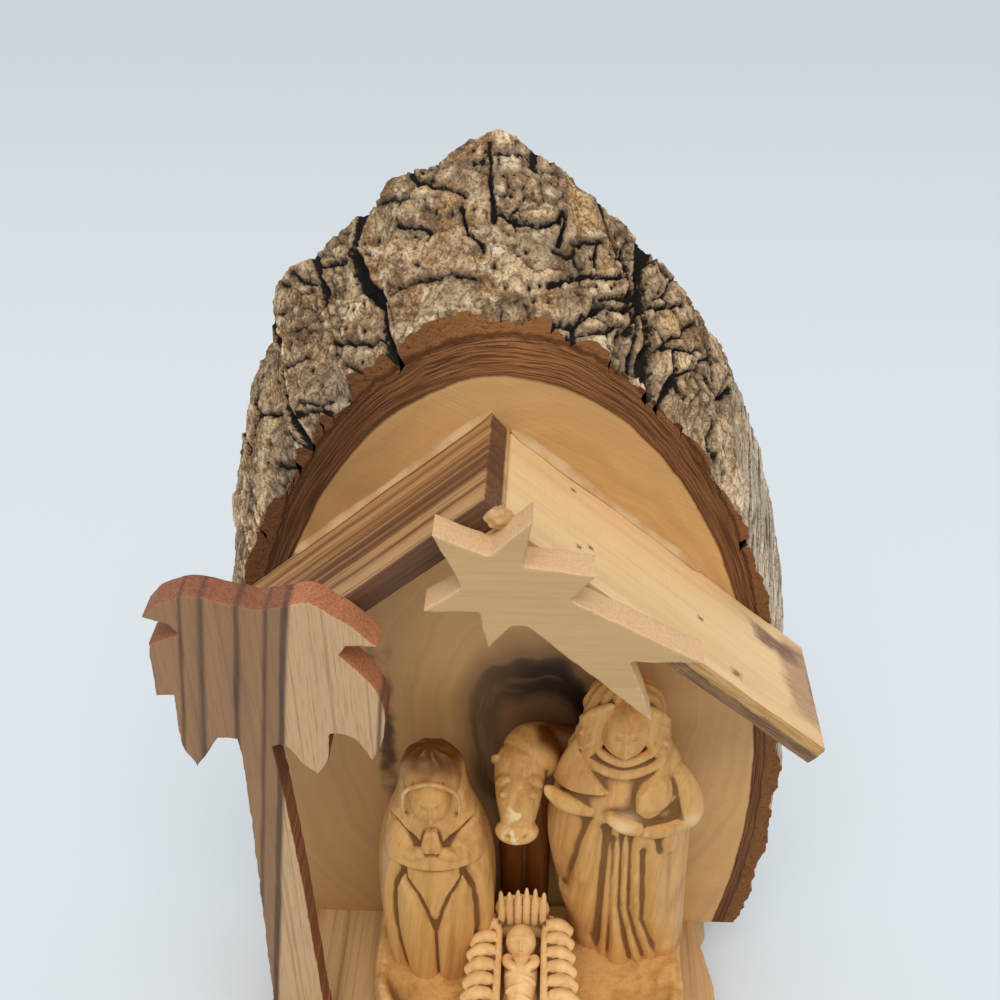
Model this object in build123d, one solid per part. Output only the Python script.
"""Small wooden nativity stable: a bark-edged log slice on a plank, with a pitched roof,
a comet star, a palm tree and a carved group of figures.

Millimetres. X runs to the right as seen from the front, Y to the back, Z up.
The origin is on the underside of the base board, below the middle of the log slice.
"""

import os
from math import cos, hypot, pi, radians, sin, tan

from build123d import *

# Base board: a plank with sawn front and back and two natural edges
BASE_T = 11.0
BASE_DEPTH = 53.0
BASE_LEFT = -39.0
BASE_RIGHT = 35.6
BASE_WAVE = 0.9
BASE_FLARE = 1.8
BASE_WAVE_STEPS = 8

# Back slab: an oblique slice of a log whose axis leans up and back
SLAB_T = 13.0
SLAB_LEAN = 45.0
SLAB_MIDDLE_Z = BASE_T + 31.7
SLAB_FRONT = BASE_DEPTH / 2 - SLAB_T
WOOD_X, WOOD_RX, WOOD_RZ = 0.6, 40.2, 80.6
INNER_BARK_RX, INNER_BARK_RZ = 42.9, 85.0
BARK_RX, BARK_RZ = 44.7, 88.4

# Cork bark: angles of the furrows round the slice, and the swell of each plate at the back
FURROW_ANGLES = (-36, -16, 2, 18, 33, 44, 54, 66, 81, 91, 103, 117, 127, 138, 150, 163, 178, 195, 216)
PLATE_SWELL = (0.6, 0.8, 0.8, 0.3, 0.3, 0.2, 0.2, 1.0, 5.3, 5.8, 4.2, 4.4, 3.6, 2.3, 1.3, 0.4, 0.4, 0.4)
FRONT_SWELL_SHARE = 0.1
FURROW_DEPTH = 1.1
PLATE_CROWN = 0.7
PLATE_PROFILE = ((0.12, 0.2), (0.5, 1.0), (0.88, 0.3))
CRACK_WIDTH = 0.7
CRACK_DEPTH = 0.9
CRACK_SPAN = 0.8
CRACKS_PER_PLATE = 3
CRACKED_ARC = (8, 172)

# Roof boards
ROOF_PITCH = 40.4
ROOF_T = 3.4
ROOF_DEPTH = 21.6
RIDGE_X, RIDGE_Z = -1.4, BASE_T + 106.9
ROOF_LEFT_LENGTH = 50.0
ROOF_RIGHT_LENGTH = 57.6
RIDGE_GAP = 0.5
ROOF_FRONT = SLAB_FRONT - ROOF_DEPTH

# Glue
BEAD_LEG = 1.5
BEAD_LEFT_LENGTH = 38.0
BEAD_RIGHT_LENGTH = 36.0
STAR_BLOB = (1.7, 1.4, 1.3)

# Fret-sawn cut-outs
CUTOUT_T = 4.5
CUTOUT_FRONT = ROOF_FRONT - CUTOUT_T

# Plinth of the carved group
PLINTH_T = 5.0
PLINTH_TOP = BASE_T + PLINTH_T
PLINTH_X = 4.6
PLINTH_HALF = 26.4
PLINTH_BACK = SLAB_FRONT - 0.5
PLINTH_TURN = SLAB_FRONT - 17.0
PLINTH_NOSE = 15.5
PLINTH_EASE = 1.4

# Kneeling figure: cloak as (height, half width), knees as (height, half width)
MOTHER_X, MOTHER_Y = -10.6, 3.5
CLOAK = (
    (16, 8.8), (26, 9.4), (36, 9.5), (43, 9.1), (48, 8.2), (52, 7.0), (55, 5.9), (58, 5.3), (61, 4.8), (63.5, 3.4),
    (65.2, 1.2),
)
CLOAK_DEPTH = 0.78
KNEE = ((16, 2.9), (26, 3.4), (36, 2.8), (44, 1.4))
KNEE_APART, KNEE_AHEAD = 3.3, 5.2

# Standing figure: robe and chest as (centre x, height, half width), cowl as (y, height, half width)
FATHER_X, FATHER_Y = 18.4, 5.8
ROBE = ((21.4, 16, 9.3), (19.6, 32, 10.6), (18.4, 47, 11.4))
ROBE_DEPTH = 0.58
ROBE_PLEATS = 13
PLEAT = 0.12
CHEST = ((18.4, 46, 10.6), (18.4, 54, 10.8), (18.3, 58.5, 9.0), (18.2, 62.5, 5.4))
COWL = ((3.6, 57, 5.0), (3.9, 60.5, 6.8), (4.5, 65.5, 5.8))
COWL_DEPTH = 0.85

# Ox: barrel as (x, middle height, half height)
OX_Y = 9.2
OX_BARREL = ((0.5, 58.0, 4.0), (3.5, 56.4, 8.0), (9.0, 55.6, 8.8), (17.0, 55.0, 8.4))
OX_BARREL_DEPTH = 0.45
OX_LEGS = (1.6, 5.6)

# Crib
CRIB_X, CRIB_HEAD_Y, CRIB_FOOT_Y = 3.4, 3.2, -16.4
CRIB_RIM_Z = PLINTH_TOP + 9.5
CRIB_FLOOR_Z = PLINTH_TOP + 4.0
CRIB_HALF_HEAD, CRIB_HALF_FOOT = 7.2, 9.4
CRIB_BED_HALF = 3.7
CRIB_FOOT_INSET = 2.0
STRAW_ROWS = 7
STRAW_TALL = 5


def front_plane(y, z=0.0):
    """Drawing plane that faces the front, with x to the right and y up."""
    return Plane((0, y, z), x_dir=(1, 0, 0), z_dir=(0, -1, 0))


def outline_face(points):
    """Face inside a closed line of points."""
    return make_face(Polyline(*points, close=True))


def upright(points, y, depth):
    """Extrude a closed outline of (x, z) points from the plane at y towards the back."""
    return extrude(front_plane(y) * outline_face(points), amount=-depth)


def faceted(rings, split=False):
    """Solid with flat facets between rings of points that all have the same number of corners.

    With split, each side facet is two triangles, for rings whose edges are not parallel.
    """
    faces = [Face(Wire.make_polygon(ring, close=True)) for ring in (rings[0], rings[-1])]
    for low, high in zip(rings[:-1], rings[1:]):
        for k in range(len(low)):
            n = (k + 1) % len(low)
            corners = [low[k], low[n], high[n], high[k]]
            halves = [corners[:3], [corners[0], *corners[2:]]] if split else [corners]
            faces += [Face(Wire.make_polygon(half, close=True)) for half in halves]
    return Solid(Shell(faces))


def carved(rings, depth_ratio, sides=12, pleat=0.0):
    """Faceted form through level polygons, each (x, y, z, half width), all of one depth to width ratio.

    With a pleat, every second corner is drawn in by that share of the radius.
    """
    levels = []
    for x, y, z, half_width in rings:
        corners = []
        for k in range(sides):
            angle = 2 * pi * (k + 0.5) / sides
            reach = half_width * (1.0 - pleat * (k % 2))
            corners.append((x + reach * cos(angle), y + depth_ratio * reach * sin(angle), z))
        levels.append(corners)
    return faceted(levels)


def egg(x, y, z, half_width, half_depth, half_height, sides=12):
    """Faceted egg: level polygons that follow an ellipse."""
    rings = []
    for turn in (-75, -45, -15, 15, 45, 75):
        height = z + half_height * sin(radians(turn))
        rings.append((x, y, height, half_width * cos(radians(turn))))
    return carved(rings, half_depth / half_width, sides)


def limb(start, end, start_r, end_r, sides=8):
    """Tapered faceted rod between two points."""
    plane = Plane(origin=start, z_dir=Vector(*end) - Vector(*start))
    rings = []
    for centre, radius in ((start, start_r), (end, end_r)):
        ring = []
        for k in range(sides):
            angle = 2 * pi * k / sides
            offset = plane.x_dir * (radius * cos(angle)) + plane.y_dir * (radius * sin(angle))
            ring.append(Vector(*centre) + offset)
        rings.append(ring)
    return faceted(rings)


def largest_solid(part):
    """The main solid of a part, without chips that a cut leaves loose."""
    return max(part.solids(), key=lambda solid: solid.volume)


def ground_block(height):
    """Everything below a level, for trimming."""
    return Pos(0, 0, height - 100) * Box(400, 400, 200)


def base_board():
    """Plank whose two natural edges wave and flare out towards the underside."""
    half = BASE_DEPTH / 2

    def level(flare):
        right = []
        left = []
        for k in range(BASE_WAVE_STEPS + 1):
            y = -half + BASE_DEPTH * k / BASE_WAVE_STEPS
            right.append((BASE_RIGHT + flare + BASE_WAVE * sin(1.9 * k), y))
            left.append((BASE_LEFT - flare + BASE_WAVE * cos(1.3 * k), y))
        edges = [Spline(*right), Line(right[-1], left[-1]), Spline(*reversed(left)), Line(left[0], right[0])]
        return make_face(edges)

    return loft([level(BASE_FLARE), Pos(0, 0, BASE_T) * level(0)], ruled=True)


def slice_prism(middle_x, half_width, half_height):
    """Oblique elliptical prism through the slab, from its front face to its back face."""
    lean = radians(SLAB_LEAN)
    return extrude(
        Pos(middle_x, 0, 0) * front_plane(SLAB_FRONT, SLAB_MIDDLE_Z) * Ellipse(half_width, half_height),
        amount=SLAB_T / cos(lean),
        dir=(0, cos(lean), sin(lean)),
    )


def bark_point(angle, height):
    """Point of the slice's outline at an angle in degrees, raised square to the ellipse."""
    a = radians(angle)
    nx, nz = cos(a) / BARK_RX, sin(a) / BARK_RZ
    size = hypot(nx, nz)
    return BARK_RX * cos(a) + height * nx / size, BARK_RZ * sin(a) + height * nz / size


def bark_outline(swell_share, y, z):
    """Plates between furrows in the plane at y: each has a furrow, two shoulders and a crown."""
    points = []
    for k, swell in enumerate(PLATE_SWELL):
        first, last = FURROW_ANGLES[k], FURROW_ANGLES[k + 1]
        lower = min(swell, PLATE_SWELL[max(k - 1, 0)])
        points.append(bark_point(first, lower * swell_share - FURROW_DEPTH))
        for share, crown in PLATE_PROFILE:
            lift = swell * swell_share + crown * PLATE_CROWN
            points.append(bark_point(first + share * (last - first), lift))
    points.append(bark_point(FURROW_ANGLES[-1], -FURROW_DEPTH))
    return [(x, y, z + rise) for x, rise in points]


def bark_cracks():
    """Cross cracks that break the plates of the upper half into blocks."""
    cracks = []
    rise = tan(radians(SLAB_LEAN))
    grain = Vector(0, 1, rise)
    for k, swell in enumerate(PLATE_SWELL):
        first, last = FURROW_ANGLES[k], FURROW_ANGLES[k + 1]
        middle = 0.5 * (first + last)
        if not CRACKED_ARC[0] < middle < CRACKED_ARC[1]:
            continue
        near_x, near_z = bark_point(first, 0)
        far_x, far_z = bark_point(last, 0)
        across = Vector(far_x - near_x, 0, far_z - near_z)
        for step in range(CRACKS_PER_PLATE):
            share = (step + 0.5 + 0.24 * sin(2.1 * k + 1.3 * step)) / CRACKS_PER_PLATE
            x, z = bark_point(middle, swell * share + PLATE_CROWN)
            along = SLAB_T * share
            origin = (x, SLAB_FRONT + along, SLAB_MIDDLE_Z + z + along * rise)
            plane = Plane(origin=origin, x_dir=across, z_dir=across.cross(grain))
            cracks.append(plane * Box(CRACK_SPAN * across.length, CRACK_WIDTH, 2 * CRACK_DEPTH))
    return cracks


def back_slab():
    """Wood, inner bark and cork bark of the oblique log slice, standing on the base board."""
    wood = slice_prism(WOOD_X, WOOD_RX, WOOD_RZ)
    inner = slice_prism(0, INNER_BARK_RX, INNER_BARK_RZ)
    rise = SLAB_T * tan(radians(SLAB_LEAN))
    front = bark_outline(FRONT_SWELL_SHARE, SLAB_FRONT, SLAB_MIDDLE_Z)
    back = bark_outline(1.0, SLAB_FRONT + SLAB_T, SLAB_MIDDLE_Z + rise)
    bark = faceted([front, back], split=True)
    ground = ground_block(BASE_T)
    return {
        "slab_wood": wood - ground,
        "slab_inner_bark": inner - wood - ground,
        "slab_bark": bark - bark_cracks() - inner - ground,
    }


def glue_bead(origin, along, length):
    """Hollow fillet of glue along the joint of a roof board and the slab."""
    section = Plane(origin=(origin.X, SLAB_FRONT, origin.Z), x_dir=(0, -1, 0), z_dir=along)
    up = BEAD_LEG if section.y_dir.Z > 0 else -BEAD_LEG
    edges = [
        Line((0, 0), (BEAD_LEG, 0)),
        ThreePointArc((BEAD_LEG, 0), (0.3 * BEAD_LEG, 0.3 * up), (0, up)),
        Line((0, up), (0, 0)),
    ]
    return extrude(section * make_face(edges), amount=length)


def roof():
    """Two boards: the left runs past the ridge, the right butts under it on a wedge of glue."""
    pitch = radians(ROOF_PITCH)
    down_left = Vector(-cos(pitch), 0, -sin(pitch))
    left_under = Vector(sin(pitch), 0, -cos(pitch))
    down_right = Vector(cos(pitch), 0, -sin(pitch))
    right_under = Vector(-sin(pitch), 0, -cos(pitch))

    ridge = Vector(RIDGE_X, 0, RIDGE_Z)
    heel = ridge + left_under * ROOF_T
    left = [ridge, ridge + down_left * ROOF_LEFT_LENGTH, heel + down_left * ROOF_LEFT_LENGTH, heel]

    start = heel + down_right * RIDGE_GAP
    inside = start + right_under * ROOF_T
    right = [start, start + down_right * ROOF_RIGHT_LENGTH, inside + down_right * ROOF_RIGHT_LENGTH, inside]
    seam = [heel, start, inside, heel + down_left * ROOF_T]

    def board(corners):
        return upright([(p.X, p.Z) for p in corners], ROOF_FRONT, ROOF_DEPTH)

    return {
        "roof_board_left": board(left),
        "roof_board_right": board(right),
        "ridge_glue": board(seam),
        "roof_glue_left": glue_bead(ridge, down_left, BEAD_LEFT_LENGTH),
        "roof_glue_right": glue_bead(start, down_right, BEAD_RIGHT_LENGTH),
    }


def comet_star():
    """Star with five short rays and a tail that ends in two points."""
    outline = [
        (-7.5, 116.7), (-0.6, 113.5), (4.7, 119.0), (3.5, 112.1), (12.5, 110.9), (9.3, 107.0),
        (26.4, 97.3), (17.0, 97.2), (20.4, 86.8), (4.0, 102.7), (2.0, 102.7), (-0.9, 98.8),
        (-2.0, 104.7), (-8.9, 104.7), (-4.0, 108.5), (-4.9, 110.7),
    ]
    return upright(outline, CUTOUT_FRONT, CUTOUT_T)


def palm_tree():
    """Palm in one piece: a crown of drooping fronds on a trunk that widens to its foot."""
    edges = [
        Spline((-44.1, 102.8), (-42.0, 104.9), (-38.0, 106.4), (-33.0, 105.4), (-29.7, 104.4)),
        Spline((-29.7, 104.4), (-26.1, 105.1), (-22.8, 105.7), (-18.0, 102.2), (-14.7, 98.7)),
        Polyline((-14.7, 98.7), (-18.8, 98.7), (-19.7, 97.2)),
        Spline((-19.7, 97.2), (-15.6, 91.8), (-14.4, 86.7), (-15.2, 81.5), (-16.7, 78.1)),
        Spline((-16.7, 78.1), (-18.5, 81.6), (-20.2, 82.9), (-22.0, 83.0)),
        Spline((-22.0, 83.0), (-22.7, 78.3), (-24.4, 75.2)),
        Spline((-24.4, 75.2), (-26.3, 77.2), (-28.2, 80.6), (-30.0, 80.4)),
        Spline((-30.0, 80.4), (-28.8, 56.0), (-27.8, BASE_T)),
        Line((-27.8, BASE_T), (-36.9, BASE_T)),
        Spline((-36.9, BASE_T), (-35.1, 56.0), (-34.5, 81.7)),
        Line((-34.5, 81.7), (-37.3, 81.9)),
        Spline((-37.3, 81.9), (-39.0, 79.0), (-40.9, 76.2)),
        Spline((-40.9, 76.2), (-42.5, 80.6), (-42.1, 89.5)),
        Polyline((-42.1, 89.5), (-44.4, 89.4), (-44.1, 98.4), (-40.0, 100.1), (-41.0, 101.5), (-44.1, 102.8)),
    ]
    return extrude(front_plane(CUTOUT_FRONT) * make_face(edges), amount=-CUTOUT_T)


def figure_plinth():
    """Low plinth with a straight back and a bowed front with an eased top edge."""
    left, right = PLINTH_X - PLINTH_HALF, PLINTH_X + PLINTH_HALF
    middle = (PLINTH_X, PLINTH_TURN)
    edges = [
        EllipticalCenterArc(middle, PLINTH_HALF, PLINTH_NOSE, start_angle=180, arc_size=180),
        Polyline((right, PLINTH_TURN), (right, PLINTH_BACK), (left, PLINTH_BACK), (left, PLINTH_TURN)),
    ]
    block = extrude(Pos(0, 0, BASE_T) * make_face(edges), amount=PLINTH_T)
    rim = block.edges().group_by(Axis.Z)[-1].filter_by(lambda edge: edge.center().Y < PLINTH_BACK - 1)
    return chamfer(rim, PLINTH_EASE)


def kneeling_mother():
    """Kneeling figure: veil and cloak in one sweep, robe over the knees, hands joined."""
    x, y = MOTHER_X, MOTHER_Y
    cloak = carved([(x, y, z, half) for z, half in CLOAK], CLOAK_DEPTH, 14)
    figure = cloak - Pos(x, y - 7.6, 30) * Box(10.5, 5.0, 28)
    for side in (-1, 1):
        knee = [(x + KNEE_APART * side, y - KNEE_AHEAD, z, half) for z, half in KNEE]
        figure += carved(knee, 0.8, 10)
        figure += limb((x + 6.8 * side, y - 3.2, 47.6), (x + 0.6 * side, y - 7.0, 49.4), 2.6, 1.4)
    face = egg(x - 0.2, y - 3.4, 56.8, 3.7, 4.0, 4.8)
    nose = limb((x - 0.2, y - 6.9, 57.8), (x - 0.2, y - 7.7, 55.6), 0.4, 0.8, 6)
    return figure + face + nose


def standing_father():
    """Standing figure: pleated robe, cowl, one arm reaching out and one across the chest."""
    x, y = FATHER_X, FATHER_Y
    figure = carved([(middle, y, z, half) for middle, z, half in ROBE], ROBE_DEPTH, 2 * ROBE_PLEATS, PLEAT)
    figure += carved([(middle, y, z, half) for middle, z, half in CHEST], ROBE_DEPTH)
    figure += carved([(x, depth, z, half) for depth, z, half in COWL], COWL_DEPTH, 14)
    figure += limb((x - 7.4, y - 1.0, 60.0), (x - 6.6, y - 4.6, 55.0), 3.0, 3.2)
    figure += limb((x - 6.0, y - 4.6, 55.0), (x - 12.0, y - 4.6, 59.2), 1.9, 1.1)
    figure += limb((x + 7.6, y - 1.0, 60.0), (x + 10.6, y - 3.2, 52.6), 3.0, 2.7)
    figure += limb((x + 10.2, y - 3.8, 52.4), (x + 0.8, y - 7.0, 54.6), 2.5, 1.5)
    figure += egg(x + 0.1, y + 0.4, 70.6, 6.3, 4.9, 6.2)
    for side in (-1, 1):
        figure += egg(x + 0.1 + 5.2 * side, y - 1.2, 69.0, 1.9, 2.6, 4.4, 8)
    figure += egg(x, y - 1.8, 69.8, 4.3, 4.8, 5.5)
    return figure + limb((x, y - 6.0, 71.2), (x, y - 6.8, 68.8), 0.5, 0.9, 6)


def ox():
    """Front of an ox that steps out from behind the standing figure, head lowered over the crib."""
    rings = []
    for reach, level, half_height in OX_BARREL:
        ring = []
        for k in range(12):
            angle = 2 * pi * (k + 0.5) / 12
            across, rise = OX_BARREL_DEPTH * half_height * cos(angle), half_height * sin(angle)
            ring.append((reach, OX_Y + across, level + rise))
        rings.append(ring)
    body = faceted(rings)
    body += limb((5.0, 8.6, 59.0), (3.2, 5.2, 60.6), 4.8, 4.0)
    body += limb((3.2, 5.6, 61.4), (2.8, 2.6, 56.0), 3.6, 4.1)
    body += limb((2.8, 2.8, 57.0), (2.6, 0.4, 49.4), 4.1, 3.2)
    for reach in OX_LEGS:
        body += limb((reach, OX_Y, PLINTH_TOP), (reach, OX_Y, 52.0), 1.6, 2.4)
    return body


def crib_level(z, head_half, foot_half, head_y, foot_y):
    """Corners of the crib at a level, from the left of its head round to the left of its foot."""
    corners = [(-head_half, head_y), (head_half, head_y), (foot_half, foot_y), (-foot_half, foot_y)]
    return [(CRIB_X + x, y, z) for x, y in corners]


def manger():
    """Crib with flared walls, straw across both rims and straw standing up at the head."""
    length = CRIB_HEAD_Y - CRIB_FOOT_Y
    flare = (CRIB_HALF_FOOT - CRIB_HALF_HEAD) / length
    inner_head, inner_foot = CRIB_HEAD_Y - CRIB_FOOT_INSET, CRIB_FOOT_Y + CRIB_FOOT_INSET
    low_head = CRIB_HALF_HEAD - 2.6
    low_foot = low_head + flare * (inner_head - inner_foot)
    outside = [
        crib_level(PLINTH_TOP, low_head, low_foot, inner_head, inner_foot),
        crib_level(CRIB_RIM_Z, CRIB_HALF_HEAD, CRIB_HALF_FOOT, CRIB_HEAD_Y, CRIB_FOOT_Y),
    ]
    inside = [
        crib_level(CRIB_FLOOR_Z, CRIB_BED_HALF, CRIB_BED_HALF, inner_head, inner_foot),
        crib_level(CRIB_RIM_Z + 1, CRIB_BED_HALF, CRIB_BED_HALF, inner_head, inner_foot),
    ]
    crib = faceted(outside) - faceted(inside)
    for step in range(STRAW_ROWS):
        share = (step + 0.6) / STRAW_ROWS
        reach = 0.5 * (CRIB_BED_HALF + CRIB_HALF_HEAD + share * flare * length) + 0.4
        for side in (-1, 1):
            turn = Rot(0, 10 * side, side * (16 - 26 * share))
            place = Pos(CRIB_X + reach * side, CRIB_HEAD_Y - share * length, CRIB_RIM_Z)
            crib += place * turn * Box(4.2 + 1.2 * share, 1.7, 1.2)
    for step in range(STRAW_TALL):
        offset = step - (STRAW_TALL - 1) / 2
        tip = CRIB_RIM_Z + 8.0 - 0.5 * abs(offset)
        foot = (CRIB_X + 1.6 * offset, CRIB_HEAD_Y - 1.0, CRIB_RIM_Z - 1.0)
        crib += limb(foot, (CRIB_X + 1.7 * offset, CRIB_HEAD_Y - 0.6, tip), 0.95, 0.45, 6)
    return crib


def infant():
    """Swaddled infant on its back, head towards the slab."""
    rings = []
    for y, half_width in ((-12.6, 1.5), (-9.0, 2.6), (-5.6, 3.0), (-3.6, 2.4)):
        ring = []
        for k in range(9):
            angle = pi * k / 8
            ring.append((CRIB_X + half_width * cos(angle), y, CRIB_FLOOR_Z + 1.9 * half_width * sin(angle)))
        rings.append(ring)
    bundle = faceted(rings)
    head = egg(CRIB_X, -2.0, CRIB_FLOOR_Z + 4.7, 2.6, 2.6, 2.9, 10)
    nose = limb((CRIB_X, -2.4, CRIB_FLOOR_Z + 7.1), (CRIB_X, -3.0, CRIB_FLOOR_Z + 7.6), 0.4, 0.6, 6)
    return bundle + head + nose - ground_block(CRIB_FLOOR_Z)


def main():
    """Build every piece, cut neighbours clear of each other and write one file per piece."""
    pieces = {"base_board": base_board()}
    pieces.update(back_slab())
    pieces.update(roof())
    pieces["comet_star"] = comet_star()
    pieces["palm_tree"] = palm_tree()
    pieces["figure_plinth"] = figure_plinth()
    pieces["kneeling_mother"] = kneeling_mother()
    pieces["standing_father"] = standing_father()
    pieces["manger"] = largest_solid(manger() - pieces["kneeling_mother"] - pieces["standing_father"])
    pieces["infant"] = largest_solid(infant() - pieces["manger"])
    beast = ox() - pieces["standing_father"] - pieces["kneeling_mother"] - pieces["manger"]
    pieces["ox"] = largest_solid(beast)
    blob = egg(0.4, ROOF_FRONT + 0.4, RIDGE_Z - 2.0, *STAR_BLOB, sides=10)
    for neighbour in ("roof_board_left", "roof_board_right", "ridge_glue", "comet_star"):
        blob -= pieces[neighbour]
    pieces["star_glue"] = largest_solid(blob)

    os.makedirs("parts", exist_ok=True)
    for name, piece in pieces.items():
        export_step(piece, f"parts/{name}.step")
        print(name, len(piece.solids()), round(piece.volume, 1))


main()
